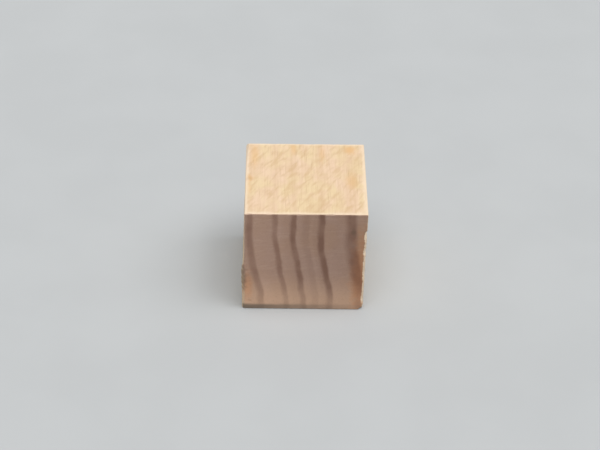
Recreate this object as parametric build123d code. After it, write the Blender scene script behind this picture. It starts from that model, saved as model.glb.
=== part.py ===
"""Wooden cube: one small block of pale hardwood, crosscut from a planed square stick.

The block is a single solid. Its fibres run along Y, so the front (-Y) and back (+Y) faces are
sawn end grain, and the four others are planed long grain. The stick was slightly out of square,
so the block's section leans a little, and its left side swells over the lower half. All edges
are lightly broken by sanding, and the front foot edge is taken back to a steep bevel that leans
further back at the left. The saw broke fibres out along the front right arris, which leaves a row
of small scoops there, and the rear half of the left top arris is worn to a narrow bevel.

Frame: +Z up, +X right, front face towards -Y, origin at the centre of the base. Millimetres.
"""

from build123d import *
import math
import os

# Overall sizes
WIDTH = 20.0  # X, measured at any one height, across the growth rings
DEPTH = 20.0  # Y, along the fibres, between the two saw cuts
HEIGHT = 20.0  # Z

# How the stick's section differs from a true square
LEAN = 0.2  # the top of the section stands this far to the right of its foot
SWELL = 0.25  # how far the left side stands out below the swell
SWELL_TOP = 10.6  # height at which the left side starts to stand out
SWELL_RUN = 2.4  # height over which it does so

# Broken edges
EDGE_BREAK = 0.2  # radius of every sanded edge
FOOT_LEFT = (1.30, 0.20)  # height of the front foot bevel at the left side, and how far it runs back
FOOT_RIGHT = (1.20, 0.08)  # and at the right side

# Fibres torn out along the front right arris, one row per scoop:
# share of the height, radius, depth into the right side, run along the fibres
TEARS = [
    (0.09, 0.60, 0.10, 1.1),
    (0.22, 0.55, 0.13, 1.5),
    (0.36, 0.75, 0.18, 1.7),
    (0.53, 0.60, 0.22, 2.0),
    (0.60, 0.95, 0.34, 2.5),
    (0.78, 1.00, 0.40, 2.9),
]
TEAR_LEAD = 0.8  # how far a scoop's cutter starts in front of the end grain

# Wear along the left top arris
WEAR_LEG = 0.42  # leg of the bevel at the back face
WEAR_RUN = 11.0  # how far the bevel runs forward before it fades out

# Working values
ARRIS_ANGLE = 20.0  # degrees: two faces that meet at more than this make an edge to break
CLEAR = 1.0  # how far a cutter reaches past what it cuts


def right_side(z):
    """X of the right side at a height above the base."""
    return WIDTH / 2 + LEAN * z / HEIGHT


def left_side(z):
    """X of the planed left side at a height above the base, without the swell."""
    return right_side(z) - WIDTH


def section():
    """The stick's section, in XZ."""
    swell_foot = SWELL_TOP - SWELL_RUN
    foot_left = (left_side(0) - SWELL, 0)
    swell_low = (left_side(swell_foot) - SWELL, swell_foot)
    swell_high = (left_side(SWELL_TOP), SWELL_TOP)
    top_left = (left_side(HEIGHT), HEIGHT)
    along = (LEAN, HEIGHT)
    with BuildSketch(Plane.XZ) as sketch:
        with BuildLine():
            Line(foot_left, swell_low)
            Spline(swell_low, swell_high, tangents=(along, along))
            Line(swell_high, top_left)
            Line(top_left, (right_side(HEIGHT), HEIGHT))
            Line((right_side(HEIGHT), HEIGHT), (right_side(0), 0))
            Line((right_side(0), 0), foot_left)
        make_face()
    return sketch.sketch


def foot_triangle(x):
    """The foot bevel's cutter at one X, in YZ: its long side leaves the front face at the height."""
    share = (x - left_side(0)) / WIDTH
    rise = FOOT_LEFT[0] + (FOOT_RIGHT[0] - FOOT_LEFT[0]) * share
    run = FOOT_LEFT[1] + (FOOT_RIGHT[1] - FOOT_LEFT[1]) * share
    slope = run / rise
    front = -DEPTH / 2
    with BuildSketch(Plane.YZ.offset(x)) as triangle:
        with BuildLine():
            Polyline(
                (front - CLEAR * slope, rise + CLEAR),
                (front - CLEAR * slope, -CLEAR),
                (front + run + CLEAR * slope, -CLEAR),
                close=True,
            )
        make_face()
    return triangle.sketch


def foot_bevel():
    """The cutter of the front foot edge: a wedge that leans further back at the left."""
    left_end = foot_triangle(left_side(0) - SWELL - CLEAR)
    right_end = foot_triangle(right_side(0) + CLEAR)
    return loft([left_end, right_end])


def sanded_block():
    """The crosscut length of stick with its edges broken."""
    block = extrude(section(), DEPTH / 2, both=True) - foot_bevel()
    arrises = [edge for edge in block.edges() if is_arris(edge)]
    return fillet(arrises, EDGE_BREAK)


def is_arris(edge):
    """True for an edge where two faces meet at an angle, and not for a seam between smooth ones."""
    middle = edge.position_at(0.5)
    sides = [face for face in edge.topo_parent.faces() if edge in face.edges()]
    normals = [side.normal_at(middle) for side in sides]
    return normals[0].get_angle(normals[1]) > ARRIS_ANGLE


def tear(share, radius, depth, run):
    """The cutter of one scoop: a cylinder along the fibres that runs out of the right side."""
    height = share * HEIGHT
    tilt = math.degrees(math.atan2(depth, run))
    length = 2 * (run + TEAR_LEAD + radius)
    axis_x = right_side(height) + radius - depth
    cutter = Rot(0, 0, -tilt) * Rot(90, 0, 0) * Cylinder(radius, length)
    return Pos(axis_x, -DEPTH / 2, height) * cutter


def wear_triangle(y, leg):
    """The worn bevel's cutter at one Y, in XZ: its long side takes this leg off the arris."""
    corner_x = left_side(HEIGHT)
    with BuildSketch(Plane.XZ.offset(-y)) as triangle:
        with BuildLine():
            Polyline(
                (corner_x + leg + CLEAR, HEIGHT + CLEAR),
                (corner_x - CLEAR, HEIGHT + CLEAR),
                (corner_x - CLEAR, HEIGHT - leg - CLEAR),
                close=True,
            )
        make_face()
    return triangle.sketch


def worn_bevel():
    """The cutter of the worn left top arris: a wedge that deepens towards the back."""
    growth = WEAR_LEG / WEAR_RUN
    back = wear_triangle(DEPTH / 2 + CLEAR, WEAR_LEG + growth * CLEAR)
    front = wear_triangle(DEPTH / 2 - WEAR_RUN, 0)
    return loft([back, front])


def wooden_cube():
    """The finished block, moved so that its base is centred on the origin."""
    block = sanded_block() - worn_bevel()
    for row in TEARS:
        block -= tear(*row)
    middle = block.bounding_box().center()
    return Pos(-middle.X, -middle.Y, 0) * block


os.makedirs("parts", exist_ok=True)
export_step(wooden_cube(), "parts/wooden_cube.step")
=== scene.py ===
"""Looks of the wooden cube: one small block of pale hardwood, crosscut from a planed square stick.

The block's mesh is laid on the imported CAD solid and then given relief: slightly wavy planed and
sawn faces, unevenly broken edges, fibres torn out along the front right arris, a scar and dents.
Its one material is solid wood. Growth rings, rays, vessels and fibres are worked out in three
dimensions, so each face shows its own cut through the same wood.

Frame: metres, +Z up, +X right, front face towards -Y, origin at the centre of the base. Sizes
below are in millimetres unless they say otherwise, and MM turns them into metres.
"""

import math

import bpy
import numpy as np
from mathutils import Matrix, Vector, noise
from mathutils.bvhtree import BVHTree


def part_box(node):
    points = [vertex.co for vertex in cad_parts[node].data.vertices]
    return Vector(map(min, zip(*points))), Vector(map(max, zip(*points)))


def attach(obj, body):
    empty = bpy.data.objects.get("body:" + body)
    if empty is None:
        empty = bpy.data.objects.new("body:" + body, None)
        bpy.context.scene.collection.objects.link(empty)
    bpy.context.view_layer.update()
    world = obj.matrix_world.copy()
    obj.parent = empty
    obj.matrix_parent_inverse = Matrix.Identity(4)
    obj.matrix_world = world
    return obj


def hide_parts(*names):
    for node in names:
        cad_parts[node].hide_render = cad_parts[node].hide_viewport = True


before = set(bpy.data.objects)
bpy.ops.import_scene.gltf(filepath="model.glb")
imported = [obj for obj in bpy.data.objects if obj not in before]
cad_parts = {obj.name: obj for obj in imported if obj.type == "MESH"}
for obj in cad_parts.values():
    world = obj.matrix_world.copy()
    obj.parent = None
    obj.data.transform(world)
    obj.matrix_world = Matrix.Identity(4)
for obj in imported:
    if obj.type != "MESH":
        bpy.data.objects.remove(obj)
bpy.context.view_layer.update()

NODE = "wooden_cube"
MM = 0.001

# The block's mesh
CELLS = (112, 88, 196)  # grid cells along X, Y and Z, finest along the torn arris
CROWDING = 0.82  # how much the cells crowd towards the edges, 0 to 1
SKELETON = 1.0  # depth of the core that the grid is projected outwards from
LEVELS = 40  # heights at which the leaning sides are measured
PROBE_Y = 4.0  # where they are measured, well clear of the torn arris

# Relief
WAVE_HEIGHT = 0.018  # planing waves
WAVE_LENGTH = 5.0
GRAIN_HEIGHT = 0.006  # raised fibres
SAW_HEIGHT = 0.010  # saw marks on the end grain
SAW_CENTRE = (-52.0, 61.0)  # X and Z of the middle of the saw's arcs
EDGE_LEG = 0.13  # leg of the sanded facet along each arris
EDGE_UNEVEN = 0.13  # how much that leg changes from place to place
TORN_LEG = 0.38  # leg of the torn facet along the front right arris
TORN_UNEVEN = 0.27
TORN_SLANT = 0.80  # a torn facet runs a little further along the fibres than into the side
TORN_TOP = 16.9  # height above which the arris is whole
WORN_LEG = 0.50  # leg of the worn facet along the lower half of the front left arris
WORN_TOP = 10.4
EDGE_HIGHLIGHT_WIDTH = 0.80  # width of the painted highlight, a paler band, along an arris
EDGE_HIGHLIGHT_SIDES = 0.25  # how much of it the arrises away from the top have
FOOT_HEIGHT = 1.25  # height of the painted shade along the front foot, where the block meets the floor
FOOT_SHADE_STRENGTH = (0.88, 0.02)  # how dark that painted shade is at the left and at the right

# Dents, marks and one raised scar: centre, reach along X, Y and Z, depth, how dark it is. The scar's
# darkness is painted shade.
MARKS = [
    ((-9.15, -0.2, 20.0), (0.80, 0.90, 0.5), 0.05, 0.22),
    ((7.95, -10.0, 16.4), (0.60, 0.60, 1.05), 0.03, 0.85),
    # painted shade: the raised scar on the lower front left arris is dark as a side turned away from
    # the light
    ((-10.15, -9.9, 7.0), (0.95, 1.25, 4.20), -0.28, 0.95),
    ((10.05, -10.0, 0.0), (1.10, 1.00, 1.10), 0.30, 0.10),
    ((-9.00, -10.0, 1.9), (0.50, 0.40, 0.45), 0.04, 0.22),
    ((3.10, 10.0, 12.4), (0.55, 0.50, 0.70), 0.03, 0.42),
    ((10.20, 3.5, 13.0), (0.60, 0.80, 0.45), 0.04, 0.30),
    ((-10.00, -3.0, 6.0), (0.60, 0.70, 0.40), 0.03, 0.28),
]
# Warm stains: centre, reach along X, Y and Z, and strength
STAINS = [
    ((-8.30, 6.4, 20.0), (1.00, 5.20, 0.6), 0.60),
    ((-9.20, -0.2, 20.0), (1.20, 1.50, 0.6), 0.90),
    ((-9.30, -2.8, 20.0), (0.90, 2.40, 0.6), 0.40),
    ((-1.75, 8.3, 20.0), (0.75, 2.60, 0.6), 0.60),
    ((3.05, 7.2, 20.0), (0.75, 3.60, 0.6), 0.50),
    ((7.75, 8.3, 20.0), (1.50, 1.90, 0.6), 0.85),
    ((7.80, -0.8, 20.0), (1.60, 3.20, 0.6), 0.50),
    ((-9.20, -10.0, 5.0), (1.10, 0.60, 4.50), 0.70),
    ((9.25, -10.0, 7.5), (2.20, 0.60, 12.5), 1.00),
    ((-6.50, 10.0, 3.0), (2.20, 0.60, 3.50), 0.60),
]

# Growth rings: where each dark line stands on the top, its darkness, and its width
RINGS = [
    (-12.90, 0.75, 1.1),
    (-8.88, 0.74, 1.1),
    (-4.72, 0.70, 0.9),
    (-1.77, 0.86, 1.0),
    (0.30, 0.26, 1.1),
    (2.69, 1.00, 1.1),
    (7.78, 0.85, 1.9),
]
# One ring's stops: place in widths from its line, and share of its darkness
RING_SHAPE = [(-0.95, 0.14), (-0.22, 1.0), (0.14, 1.0), (0.58, 0.0)]
RING_RANGE = (-16.0, 12.0)
BOW = 1.95  # how far the rings move right from the top to the base
BOW_TOP = 17.0  # height above which they run straight up

# Wood colours, as linear albedo
LONG_PINK = (0.805, 0.596, 0.425)
LONG_YELLOW = (0.785, 0.612, 0.378)
LONG_TAN = (0.640, 0.440, 0.245)
LONG_RING = (0.600, 0.385, 0.220)
LONG_VESSEL = (0.450, 0.270, 0.140)
END_PALE = (0.450, 0.290, 0.222)
END_DARK = (0.250, 0.133, 0.090)
END_WARM = (0.440, 0.260, 0.155)
# painted bounce light from the floor, on the foot of the end grain
END_BOUNCE_LIGHT = (0.690, 0.440, 0.295)
END_RAY = (0.560, 0.390, 0.300)
END_VESSEL = (0.150, 0.090, 0.070)
BOUNCE_LIGHT_SHARE = 0.80  # how much of that painted light from the floor the foot of the end grain takes
TORN_WOOD = (0.780, 0.640, 0.480)
# painted highlight along the arrises, brightest along the top's edges
EDGE_HIGHLIGHT_COLOUR = (0.900, 0.740, 0.560)
# the marks' own dark colour, also used as painted shade on the raised scar
MARK_AND_SHADE_COLOUR = (0.165, 0.105, 0.070)
# painted shade: the dark band along the front foot, where the block meets the floor
FOOT_SHADE_COLOUR = (0.190, 0.150, 0.115)
STAIN_LONG = (0.740, 0.465, 0.225)  # what a warm stain turns the long grain into
STAIN_END = (1.120, 0.910, 0.740)  # and what it multiplies the end grain by

# Floor, lights and camera
FLOOR_ALBEDO = (0.492, 0.505, 0.510)
FLOOR_SIZE = 4000.0
# name, azimuth from the front, elevation, how wide it looks, strength in watts per square metre
LIGHTS = [
    ("overhead", 0.0, 76.0, 50.0, 2.00),
    ("key", 76.0, 58.0, 34.0, 1.00),
]
ROOM_COLOUR = (0.980, 1.000, 1.010)
ROOM_LOW = 0.60  # brightness of the room at the horizon, where it meets the floor
ROOM_HIGH = 0.25  # and overhead
ROOM_RISE = 0.7  # height on the unit sphere where it reaches that
CAMERA_AZIMUTH = -1.17
CAMERA_ELEVATION = 37.42
CAMERA_ROLL = 1.24
CAMERA_DISTANCE = 283.4
CAMERA_OFFSET = (-0.57, 0.175)  # right and up in the camera's own plane, from the block's middle
CAMERA_LENS = 100.6
SENSOR_WIDTH = 36.0


def smooth_step(value, low, high):
    """0 below low, 1 above high, and an eased rise between."""
    share = np.clip((value - low) / (high - low), 0.0, 1.0)
    return share * share * (3.0 - 2.0 * share)


def noise_at(points, scale, seed):
    """Smooth noise, about -1 to 1, at each point. scale is in waves per millimetre along X, Y, Z."""
    places = points * np.asarray(scale) + seed * 17.31
    return np.array([noise.noise(place) for place in places.tolist()])


def rough_noise_at(points, scale, seed, octaves=4):
    """Noise with finer noise on it."""
    places = points * np.asarray(scale) + seed * 17.31
    return np.array([noise.fractal(place, 0.8, 2.1, octaves) for place in places.tolist()])


# ---- The block's mesh ----


def gridded_cube(cells):
    """The points of a box's skin as whole numbers from 0 to cells, and its quads, facing out."""
    spans = [np.arange(count + 1) for count in cells]
    address = np.stack(np.meshgrid(*spans, indexing="ij"), axis=-1)
    on_skin = np.any((address == 0) | (address == np.array(cells)), axis=-1)
    number = np.full(on_skin.shape, -1)
    number[on_skin] = np.arange(on_skin.sum())
    quads = []
    for axis in range(3):
        for end in (0, cells[axis]):
            sheet = np.take(number, end, axis=axis)
            corners = [sheet[:-1, :-1], sheet[1:, :-1], sheet[1:, 1:], sheet[:-1, 1:]]
            if (end == 0) != (axis == 1):
                corners.reverse()
            quads.append(np.stack(corners, axis=-1).reshape(-1, 4))
    return address[on_skin], np.concatenate(quads)


def crowded(share):
    """Moves grid lines, at -1 to 1, towards the edges, where the detail is."""
    quarter = math.pi / 2 * CROWDING
    return np.sin(share * quarter) / math.sin(quarter)


class Solid:
    """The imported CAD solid, in millimetres, with the places of its six sides."""

    def __init__(self, node):
        mesh = node.data
        corners = [vertex.co / MM for vertex in mesh.vertices]
        self.tree = BVHTree.FromPolygons(corners, [face.vertices[:] for face in mesh.polygons])
        low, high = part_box(node.name)
        self.low = np.array(low) / MM
        self.high = np.array(high) / MM
        self.middle = (self.low + self.high) / 2
        self.heights = np.linspace(self.low[2] + SKELETON, self.high[2] - SKELETON, LEVELS)
        self.left = np.array([self.side_at(height, -1) for height in self.heights])
        self.right = np.array([self.side_at(height, 1) for height in self.heights])

    def hit(self, start, direction):
        """Where a ray from inside leaves the solid."""
        place = self.tree.ray_cast(Vector(start), Vector(direction))[0]
        return place if place is not None else Vector(start)

    def side_at(self, height, sign):
        """X of the left or right side at a height."""
        return self.hit((self.middle[0], PROBE_Y, height), (sign, 0, 0)).x

    def sides(self, heights):
        """X of the left and right sides at each of many heights, carried on in line at both ends."""
        found = []
        for side in (self.left, self.right):
            inner = np.interp(heights, self.heights, side)
            foot_slope = (side[1] - side[0]) / (self.heights[1] - self.heights[0])
            head_slope = (side[-1] - side[-2]) / (self.heights[-1] - self.heights[-2])
            below = np.minimum(heights - self.heights[0], 0) * foot_slope
            above = np.maximum(heights - self.heights[-1], 0) * head_slope
            found.append(inner + below + above)
        return found

    def depths(self, points):
        """How far each point lies inside the left, right, front, back, base and top."""
        left, right = self.sides(points[:, 2])
        return np.stack(
            [
                points[:, 0] - left,
                right - points[:, 0],
                points[:, 1] - self.low[1],
                self.high[1] - points[:, 1],
                points[:, 2] - self.low[2],
                self.high[2] - points[:, 2],
            ],
            axis=-1,
        )


INWARD = np.array([(1, 0, 0), (-1, 0, 0), (0, 1, 0), (0, -1, 0), (0, 0, 1), (0, 0, -1)], float)
LEFT, RIGHT, FRONT, BACK, BASE, TOP = range(6)
ARRISES = [(a, b) for a in range(6) for b in range(a + 1, 6) if a // 2 != b // 2]


def laid_on(solid, address):
    """The grid's points on the CAD solid's surface, and the way each one faces."""
    share = crowded(address / np.array(CELLS) * 2 - 1)
    half = (solid.high - solid.low) / 2
    points = solid.middle + share * half
    left, right = solid.sides(points[:, 2])
    points[:, 0] = (left + right) / 2 + share[:, 0] * (right - left) / 2
    core = points.copy()
    core[:, 0] = np.clip(core[:, 0], left + SKELETON, right - SKELETON)
    for axis in (1, 2):
        limits = solid.low[axis] + SKELETON, solid.high[axis] - SKELETON
        core[:, axis] = np.clip(core[:, axis], *limits)
    outward = points - core
    outward /= np.linalg.norm(outward, axis=1, keepdims=True)
    rays = zip(core.tolist(), outward.tolist())
    placed = np.array([solid.hit(start, direction)[:] for start, direction in rays])
    return placed, outward


def cut_arris(points, solid, pair, slants, legs):
    """Moves the points that stand outside a facet along one arris back onto it."""
    depths = solid.depths(points)
    a, b = pair
    reach = slants[0] * depths[:, a] + slants[1] * depths[:, b]
    short = np.maximum(legs - reach, 0)
    size = slants[0] ** 2 + slants[1] ** 2
    push = slants[0] * INWARD[a] + slants[1] * INWARD[b]
    return points + push * (short / size)[:, None]


def break_edges(points, solid):
    """Sanded facets along all twelve arrises, wider here and narrower there."""
    for seed, pair in enumerate(ARRISES):
        uneven = noise_at(points, (0.55, 0.55, 0.55), seed + 1)
        fine = noise_at(points, (2.6, 2.6, 2.6), seed + 31)
        legs = EDGE_LEG + EDGE_UNEVEN * (0.7 * uneven + 0.45 * fine)
        points = cut_arris(points, solid, pair, (1, 1), legs)
    return points


def tear_arris(points, solid):
    """Splintered facets where the saw broke fibres out along the front right arris."""
    along = points * (0, 0, 1)
    coarse = noise_at(along, (0, 0, 0.62), 3)
    jagged = noise_at(along, (0, 0, 1.7), 7)
    splinter = noise_at(points, (0.6, 0.35, 4.6), 11)
    legs = TORN_LEG + TORN_UNEVEN * (0.9 * coarse + 0.55 * np.abs(jagged) + 0.6 * splinter)
    legs = np.maximum(legs, EDGE_LEG) * smooth_step(-points[:, 2], -TORN_TOP, -TORN_TOP + 0.5)
    return cut_arris(points, solid, (RIGHT, FRONT), (1, TORN_SLANT), legs)


def wear_arris(points, solid):
    """The worn facet along the lower half of the front left arris."""
    uneven = noise_at(points, (0.5, 0.5, 0.5), 17)
    legs = WORN_LEG * (1 + 0.35 * uneven)
    legs = legs * smooth_step(-points[:, 2], -WORN_TOP, -WORN_TOP + 2.5)
    return cut_arris(points, solid, (LEFT, FRONT), (1, 0.8), legs)


def face_relief(points, outward, solid):
    """How far each point stands out of its face: planing waves, raised fibres and saw marks."""
    wave = rough_noise_at(points, (1 / WAVE_LENGTH,) * 3, 5, 3)
    fibres = noise_at(points, (2.2, 0.22, 2.2), 9)
    end_grain = np.abs(outward[:, 1]) > 0.75
    arc = np.hypot(points[:, 0] - SAW_CENTRE[0], points[:, 2] - SAW_CENTRE[1])
    arcs = np.stack([arc, points[:, 1] * 0.1, arc * 0], axis=-1)
    saw = noise_at(arcs, (1.5, 1.0, 1.0), 13)
    height = WAVE_HEIGHT * wave + GRAIN_HEIGHT * fibres * ~end_grain + SAW_HEIGHT * saw * end_grain
    inside = np.sort(solid.depths(points), axis=1)[:, 1]
    return height * smooth_step(inside, 0.0, 0.6)


def spot_shares(points, spots, seed):
    """For each spot, how much of it each point has, 0 to 1."""
    shares = []
    for number, (centre, reach, *_) in enumerate(spots):
        ragged = 1 + 0.35 * noise_at(points, (1.6, 1.6, 1.6), seed + number)
        away = np.linalg.norm((points - np.array(centre)) / reach, axis=1)
        shares.append(1 - smooth_step(away / ragged, 0.15, 1.0))
    return shares


def strongest(shares, spots):
    """The strongest spot at each point, by the last number of each spot's row."""
    return np.max([share * spot[-1] for share, spot in zip(shares, spots)], axis=0)


def surface_values(points, solid):
    """What the material reads at each point, each value 0 to 1."""
    depths = solid.depths(points)
    ordered = np.sort(depths, axis=1)
    at_arris = np.minimum(depths[:, RIGHT], depths[:, FRONT])
    near = (depths[:, FRONT] < 4.0) & (depths[:, RIGHT] < 1.2)
    whole_end = np.minimum(depths[:, BASE] - FOOT_HEIGHT, depths[:, TOP])
    torn = smooth_step(at_arris, 0.035, 0.11) * near * smooth_step(whole_end, 0.2, 0.5)
    uneven = 1 + 0.45 * noise_at(points, (0.9, 0.9, 0.9), 71)
    # Painted highlight: a paler band along each arris, full along the top's edges, as if the eased
    # edges caught the light.
    painted_edge_highlight = 1 - smooth_step(ordered[:, 1] / (EDGE_HIGHLIGHT_WIDTH * uneven), 0.25, 1.0)
    painted_edge_highlight = painted_edge_highlight * np.where(depths[:, TOP] <= ordered[:, 1], 1.0, EDGE_HIGHLIGHT_SIDES)
    # Painted shade: a dark band along the front foot, darker at the left, for the shade where the
    # block meets the floor.
    at_front = 1 - smooth_step(depths[:, FRONT], 0.3, 0.6)
    ragged = 0.12 * noise_at(points, (0.8, 0.8, 0.8), 97)
    low = 1 - smooth_step(depths[:, BASE] / FOOT_HEIGHT + ragged, 0.55, 1.15)
    painted_foot_shade = np.interp(points[:, 0], (-10, 10), FOOT_SHADE_STRENGTH) * low * at_front
    # the marks' own darkness, with painted shade on the raised scar
    marks_and_painted_shade = strongest(spot_shares(points, MARKS, 51), MARKS)
    stained = strongest(spot_shares(points, STAINS, 81), STAINS)
    return {"torn": torn, "painted_edge_highlight": painted_edge_highlight, "painted_foot_shade": painted_foot_shade, "marks_and_painted_shade": marks_and_painted_shade, "stained": stained}


def make_block(solid):
    """The block's mesh, with the values its material reads."""
    address, quads = gridded_cube(CELLS)
    points, outward = laid_on(solid, address)
    points = wear_arris(tear_arris(break_edges(points, solid), solid), solid)
    values = surface_values(points, solid)
    points = points + outward * face_relief(points, outward, solid)[:, None]
    for share, (centre, reach, depth, dark) in zip(spot_shares(points, MARKS, 51), MARKS):
        points = points - outward * (share * depth)[:, None]
    points[:, 2] = np.maximum(points[:, 2], solid.low[2])

    mesh = bpy.data.meshes.new("wooden_block")
    mesh.from_pydata((points * MM).tolist(), [], quads.tolist())
    mesh.shade_smooth()
    for name, numbers in values.items():
        attribute = mesh.attributes.new(name, "FLOAT", "POINT")
        attribute.data.foreach_set("value", numbers.astype(np.float32))
    block = bpy.data.objects.new("wooden_block", mesh)
    bpy.context.scene.collection.objects.link(block)
    return block


# ---- The wood ----


class Graph:
    """Short calls for building one material's node tree."""

    def __init__(self, name):
        self.material = bpy.data.materials.new(name)
        self.material.use_nodes = True
        self.tree = self.material.node_tree
        self.tree.nodes.clear()

    def put(self, socket, value):
        """Links a socket to another one, or sets it."""
        if isinstance(value, bpy.types.NodeSocket):
            self.tree.links.new(value, socket)
        else:
            socket.default_value = value

    def node(self, kind, inputs, **settings):
        """A node of a kind, with its settings and some of its inputs."""
        made = self.tree.nodes.new("ShaderNode" + kind)
        for name, value in settings.items():
            setattr(made, name, value)
        for key, value in inputs.items():
            self.put(made.inputs[key], value)
        return made

    def maths(self, operation, *values):
        """One sum on numbers."""
        return self.node("Math", dict(enumerate(values)), operation=operation).outputs[0]

    def add(self, a, b):
        """Two numbers added."""
        return self.maths("ADD", a, b)

    def times(self, a, b):
        """Two numbers multiplied."""
        return self.maths("MULTIPLY", a, b)

    def vector_maths(self, operation, *values):
        """One sum on places."""
        return self.node("VectorMath", dict(enumerate(values)), operation=operation).outputs[0]

    def stretched(self, place, scale):
        """A place times a scale along each axis."""
        return self.vector_maths("MULTIPLY", place, scale)

    def ramp(self, value, low, high, to_low=0.0, to_high=1.0):
        """A value eased from one range into another and held at its ends."""
        inputs = {0: value, 1: low, 2: high, 3: to_low, 4: to_high}
        made = self.node("MapRange", inputs, interpolation_type="SMOOTHSTEP")
        return made.outputs[0]

    def noise(self, place, scale, detail=2.0, roughness=0.5, seed=0.0):
        """Noise about 0.5, at a place in millimetres. scale is in waves per millimetre."""
        where = self.vector_maths("MULTIPLY_ADD", place, scale, (seed, seed * 0.7, seed * 1.3))
        inputs = {"Vector": where, "Scale": 1.0, "Detail": detail, "Roughness": roughness}
        return self.node("TexNoise", inputs).outputs[0]

    def swing(self, place, scale, size, detail=2.0, seed=0.0):
        """Noise about zero that reaches about size either way."""
        centred = self.add(self.noise(place, scale, detail, 0.5, seed), -0.5)
        return self.times(centred, size * 2.6)

    def mix(self, share, a, b, blend="MIX"):
        """Two colours mixed."""
        a, b = ((*c, 1.0) if isinstance(c, tuple) else c for c in (a, b))
        made = self.node("Mix", {0: share, 6: a, 7: b}, data_type="RGBA", blend_type=blend)
        return made.outputs[2]

    def grey(self, value):
        """A number as a grey colour."""
        return self.node("CombineColor", {0: value, 1: value, 2: value}).outputs[0]

    def attribute(self, name):
        """A value that the mesh carries."""
        return self.node("Attribute", {}, attribute_name=name).outputs["Fac"]


class Grain:
    """The wood's own directions at each point: across the rings, along the fibres, along the rings."""

    def __init__(self, g):
        coordinates = g.node("TexCoord", {}).outputs["Object"]
        self.place = g.stretched(coordinates, (1 / MM,) * 3)
        split = g.node("SeparateXYZ", {0: self.place}).outputs
        self.x, self.y, self.z = split
        bow = g.ramp(self.z, 0.0, BOW_TOP, BOW, 0.0)
        wander = g.swing(self.place, (0.16, 0.05, 0.26), 0.28, 1.0, 3.1)
        ripple = g.swing(self.place, (0.8, 0.10, 0.8), 0.10, 2.0, 7.7)
        ragged = g.swing(self.place, (6.0, 0.6, 6.0), 0.05, 1.0, 11.3)
        self.across = g.add(g.add(g.maths("SUBTRACT", self.x, bow), wander), g.add(ripple, ragged))
        lean = g.times(self.x, g.ramp(g.maths("ABSOLUTE", g.add(self.z, -8.5)), 0.0, 8.5, 0.17, 0.0))
        self.round = g.maths("SUBTRACT", self.z, lean)
        normal = g.node("NewGeometry", {}).outputs["Normal"]
        facing = g.maths("ABSOLUTE", g.node("SeparateXYZ", {0: normal}).outputs[1])
        self.end = g.ramp(facing, 0.35, 0.85)
        self.up = g.maths("ABSOLUTE", g.node("SeparateXYZ", {0: normal}).outputs[2])


def ring_stops():
    """The ring ramp's stops, as place and darkness."""
    return [
        (line + width * place, dark * share)
        for line, dark, width in RINGS
        for place, share in RING_SHAPE
    ]


def growth_rings(g, grain):
    """Darkness of the growth rings, 0 to 1."""
    low, high = RING_RANGE
    share = g.node("MapRange", {0: grain.across, 1: low, 2: high}).outputs[0]
    ramp = g.node("ValToRGB", {0: share})
    ramp.color_ramp.interpolation = "EASE"
    elements = ramp.color_ramp.elements
    stops = ring_stops()
    while len(elements) < len(stops):
        elements.new(1.0)
    for element, (place, dark) in zip(elements, stops):
        element.position = (place - low) / (high - low)
        element.color = (dark, dark, dark, 1.0)
    strength = g.noise(grain.place, (0.35, 0.06, 0.30), 2.0, 0.5, 21.0)
    return g.times(ramp.outputs[0], g.ramp(strength, 0.25, 0.75, 0.72, 1.15))


def skewed(g, grain):
    """The place with its X slid along Y, so that noise drawn out along Y slants to the right."""
    slant = g.maths("MULTIPLY_ADD", grain.y, -0.48, grain.x)
    return g.node("CombineXYZ", {0: slant, 1: grain.y, 2: grain.z}).outputs[0]


def rays(g, grain):
    """The rays, 0 to 1: ribbons that run out across the rings, thin round them."""
    drift = g.swing(skewed(g, grain), (0.62, 0.26, 0.2), 0.30, 2.0, 31.0)
    inputs = {0: grain.across, 1: grain.y, 2: g.add(grain.round, drift)}
    place = g.node("CombineXYZ", inputs).outputs[0]
    fine = g.noise(place, (0.30, 0.55, 5.5), 1.0, 0.5, 37.0)
    broad = g.noise(place, (0.35, 0.45, 2.6), 1.0, 0.5, 43.0)
    return g.maths("MAXIMUM", g.times(g.ramp(fine, 0.52, 0.72), 0.8), g.ramp(broad, 0.53, 0.72))


def blotches(g, grain):
    """Slanting blotches of darker figure on the long grain, 0 to 1."""
    small = g.noise(skewed(g, grain), (1.05, 0.34, 1.05), 2.0, 0.55, 47.0)
    return g.ramp(small, 0.46, 0.68)


def vessels(g, grain):
    """Vessels, 0 to 1: dots on the end grain and short lines along the fibres."""
    place = g.stretched(grain.place, (4.4, 0.16, 4.4))
    cell = g.node("TexVoronoi", {"Vector": place, "Scale": 1.0}, feature="F1")
    return g.ramp(cell.outputs["Distance"], 0.10, 0.26, 1.0, 0.0)


def long_grain_colour(g, grain, ring, ray, vessel):
    """Colour of the planed sides: cream, with tan flecks and faint rings."""
    tone = g.noise(grain.place, (0.34, 0.20, 0.34), 2.0, 0.55, 53.0)
    colour = g.mix(g.ramp(tone, 0.36, 0.64), LONG_PINK, LONG_YELLOW)
    fibre = g.noise(grain.place, (3.2, 0.14, 3.2), 3.0, 0.6, 59.0)
    colour = g.mix(g.ramp(fibre, 0.35, 0.75, 0.0, 0.40), colour, LONG_TAN)
    colour = g.mix(g.times(blotches(g, grain), 0.60), colour, LONG_TAN)
    shallow = g.ramp(grain.up, 0.5, 0.9, 0.60, 0.30)
    colour = g.mix(g.times(ray, shallow), colour, LONG_TAN)
    colour = g.mix(g.times(ring, 0.24), colour, LONG_RING)
    colour = g.mix(g.attribute("stained"), colour, STAIN_LONG)
    return g.mix(g.times(vessel, 0.30), colour, LONG_VESSEL)


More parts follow.
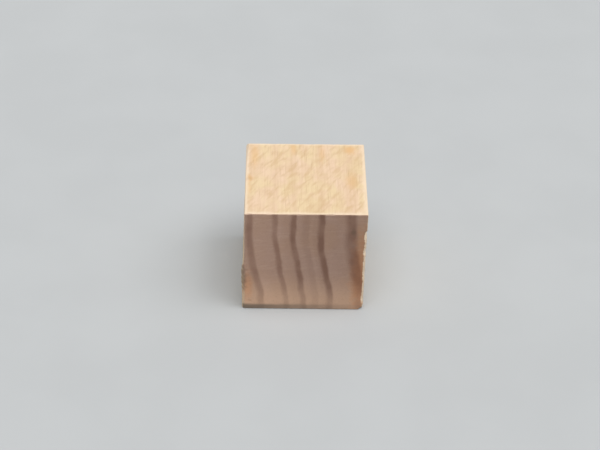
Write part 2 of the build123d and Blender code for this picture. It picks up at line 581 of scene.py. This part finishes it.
def end_grain_colour(g, grain, ring, ray, vessel):
    """Colour of the sawn ends: mauve brown, with dark rings and fine pale rays, and painted bounce
    light from the floor that lightens them towards the foot.
    """
    tone = g.noise(grain.place, (0.30, 0.2, 0.22), 2.0, 0.5, 61.0)
    colour = g.mix(g.ramp(tone, 0.3, 0.7, 0.0, 0.35), END_PALE, END_WARM)
    low_left = g.times(g.ramp(grain.x, -9.5, -6.5, 1.0, 0.0), g.ramp(grain.z, 5.0, 11.0, 1.0, 0.0))
    far_right = g.times(g.ramp(grain.x, 7.6, 9.0), g.ramp(grain.z, 15.0, 20.0, 1.0, 0.3))
    colour = g.mix(g.times(g.maths("MAXIMUM", low_left, far_right), 0.75), colour, END_WARM)
    colour = g.mix(g.times(ray, 0.25), colour, END_RAY)
    # painted bounce light: the end grain is lighter towards the foot, as if lit by the floor
    colour = g.mix(g.ramp(grain.z, 1.0, 8.5, BOUNCE_LIGHT_SHARE, 0.0), colour, END_BOUNCE_LIGHT)
    colour = g.mix(g.times(ring, g.ramp(grain.z, 0.0, 9.0, 0.42, 1.0)), colour, END_DARK)
    colour = g.mix(g.attribute("stained"), colour, STAIN_END, "MULTIPLY")
    shade = g.grey(g.ramp(grain.x, -7.0, 3.0, 1.0, 0.88))
    colour = g.mix(1.0, colour, shade, "MULTIPLY")
    return g.mix(g.times(vessel, 0.50), colour, END_VESSEL)


def wood_colour(g, grain, ring, ray, vessel):
    """The wood's colour on every face, with its torn places, its marks and painted shade on the raised
    scar, a painted highlight along the arrises and painted shade along the front foot.
    """
    long_grain = long_grain_colour(g, grain, ring, ray, vessel)
    end_grain = end_grain_colour(g, grain, ring, ray, vessel)
    colour = g.mix(grain.end, long_grain, end_grain)
    side = g.maths("SUBTRACT", 1.0, grain.end)
    # painted highlight along the arrises of the long grain
    painted_edge_highlight = g.times(g.times(g.attribute("painted_edge_highlight"), side), 0.55)
    colour = g.mix(painted_edge_highlight, colour, EDGE_HIGHLIGHT_COLOUR)
    splinters = g.noise(grain.place, (7.0, 0.6, 7.0), 2.0, 0.5, 67.0)
    torn = g.times(g.attribute("torn"), g.ramp(splinters, 0.25, 0.7, 1.0, 0.55))
    colour = g.mix(torn, colour, TORN_WOOD)
    # painted shade along the front foot
    colour = g.mix(g.attribute("painted_foot_shade"), colour, FOOT_SHADE_COLOUR)
    # the marks, with painted shade on the raised scar
    return g.mix(g.times(g.attribute("marks_and_painted_shade"), 0.75), colour, MARK_AND_SHADE_COLOUR)


def wood_height(g, grain, ray, vessel):
    """The finest relief, 0 to 1: fibres, vessels, rays and saw lines."""
    fibre = g.noise(grain.place, (9.0, 0.35, 9.0), 3.0, 0.6, 71.0)
    corner = g.vector_maths("SUBTRACT", grain.place, (SAW_CENTRE[0], 0.0, SAW_CENTRE[1]))
    radius = g.node("VectorMath", {0: corner}, operation="LENGTH").outputs["Value"]
    saw = g.noise(g.node("CombineXYZ", {0: radius}).outputs[0], (3.5, 1.0, 1.0), 2.0, 0.5, 73.0)
    sides = g.add(g.times(fibre, 0.7), g.times(ray, 0.12))
    ends = g.add(g.times(fibre, 0.5), g.times(saw, 0.5))
    surface = g.add(g.times(sides, g.maths("SUBTRACT", 1.0, grain.end)), g.times(ends, grain.end))
    return g.maths("SUBTRACT", surface, g.times(vessel, 0.35))


def wood():
    """The block's one material."""
    g = Graph("wood")
    grain = Grain(g)
    ring = growth_rings(g, grain)
    ray = rays(g, grain)
    vessel = vessels(g, grain)
    colour = wood_colour(g, grain, ring, ray, vessel)
    height = wood_height(g, grain, ray, vessel)
    bump = g.node("Bump", {"Height": height, "Strength": 0.8, "Distance": 0.04 * MM})
    matt = g.maths("MAXIMUM", g.times(grain.end, 0.82), g.ramp(ray, 0.0, 1.0, 0.62, 0.50))
    inputs = {"Base Color": colour, "Roughness": matt, "Normal": bump.outputs[0]}
    shader = g.node("BsdfPrincipled", inputs)
    shader.inputs["IOR"].default_value = 1.45
    output = g.node("OutputMaterial", {"Surface": shader.outputs[0]})
    output.is_active_output = True
    return g.material


# ---- The floor, the lights and the camera ----


def make_floor():
    """A wide plain floor under the block."""
    half = FLOOR_SIZE / 2 * MM
    corners = [(-half, -half, 0), (half, -half, 0), (half, half, 0), (-half, half, 0)]
    mesh = bpy.data.meshes.new("floor")
    mesh.from_pydata(corners, [], [(0, 1, 2, 3)])
    g = Graph("floor")
    place = g.node("TexCoord", {}).outputs["Object"]
    mottle = g.noise(place, (60.0, 60.0, 60.0), 3.0, 0.5, 1.0)
    shade = g.grey(g.ramp(mottle, 0.3, 0.7, 0.985, 1.015))
    colour = g.mix(1.0, FLOOR_ALBEDO, shade, "MULTIPLY")
    shader = g.node("BsdfDiffuse", {"Color": colour})
    g.node("OutputMaterial", {"Surface": shader.outputs[0]})
    mesh.materials.append(g.material)
    floor = bpy.data.objects.new("floor", mesh)
    bpy.context.scene.collection.objects.link(floor)


def direction(azimuth, elevation):
    """The way from the block towards an azimuth, 0 at the front and 90 at the right."""
    a, e = math.radians(azimuth), math.radians(elevation)
    return Vector((math.sin(a) * math.cos(e), -math.cos(a) * math.cos(e), math.sin(e)))


def make_lights():
    """Soft lights from above and from the right, and the pale room round the block."""
    for name, azimuth, elevation, width, strength in LIGHTS:
        data = bpy.data.lights.new(name, "SUN")
        data.angle = math.radians(width)
        data.energy = strength
        light = bpy.data.objects.new(name, data)
        towards = direction(azimuth, elevation)
        light.rotation_euler = towards.to_track_quat("Z", "Y").to_euler()
        bpy.context.scene.collection.objects.link(light)
    world = bpy.data.worlds.new("room")
    world.use_nodes = True
    nodes, links = world.node_tree.nodes, world.node_tree.links
    split = nodes.new("ShaderNodeSeparateXYZ")
    links.new(nodes.new("ShaderNodeTexCoord").outputs["Generated"], split.inputs[0])
    rise = nodes.new("ShaderNodeMapRange")
    rise.interpolation_type = "SMOOTHSTEP"
    links.new(split.outputs[2], rise.inputs[0])
    for number, value in ((1, 0.0), (2, ROOM_RISE), (3, ROOM_LOW), (4, ROOM_HIGH)):
        rise.inputs[number].default_value = value
    background = nodes["Background"]
    background.inputs["Color"].default_value = (*ROOM_COLOUR, 1.0)
    links.new(rise.outputs[0], background.inputs["Strength"])
    bpy.context.scene.world = world


def make_camera(middle):
    """The camera, at the photograph's viewing angle."""
    back = direction(CAMERA_AZIMUTH, CAMERA_ELEVATION)
    level = Vector((0, 0, 1)).cross(back).normalized()
    upright = back.cross(level)
    roll = math.radians(CAMERA_ROLL)
    right = level * math.cos(roll) + upright * math.sin(roll)
    up = upright * math.cos(roll) - level * math.sin(roll)
    data = bpy.data.cameras.new("camera")
    data.sensor_width = SENSOR_WIDTH
    data.lens = CAMERA_LENS
    data.clip_start = 10 * MM
    data.clip_end = FLOOR_SIZE * MM
    camera = bpy.data.objects.new("camera", data)
    place = middle + (back * CAMERA_DISTANCE + right * CAMERA_OFFSET[0] + up * CAMERA_OFFSET[1]) * MM
    turn = Matrix((right, up, back)).transposed().to_4x4()
    camera.matrix_world = Matrix.Translation(place) @ turn
    bpy.context.scene.collection.objects.link(camera)
    bpy.context.scene.camera = camera


solid = Solid(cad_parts[NODE])
block = make_block(solid)
block.data.materials.append(wood())
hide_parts(NODE)
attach(block, "root")

middle = Vector(solid.middle) * MM
make_floor()
make_lights()
make_camera(middle)
bpy.context.scene.view_settings.view_transform = "Standard"
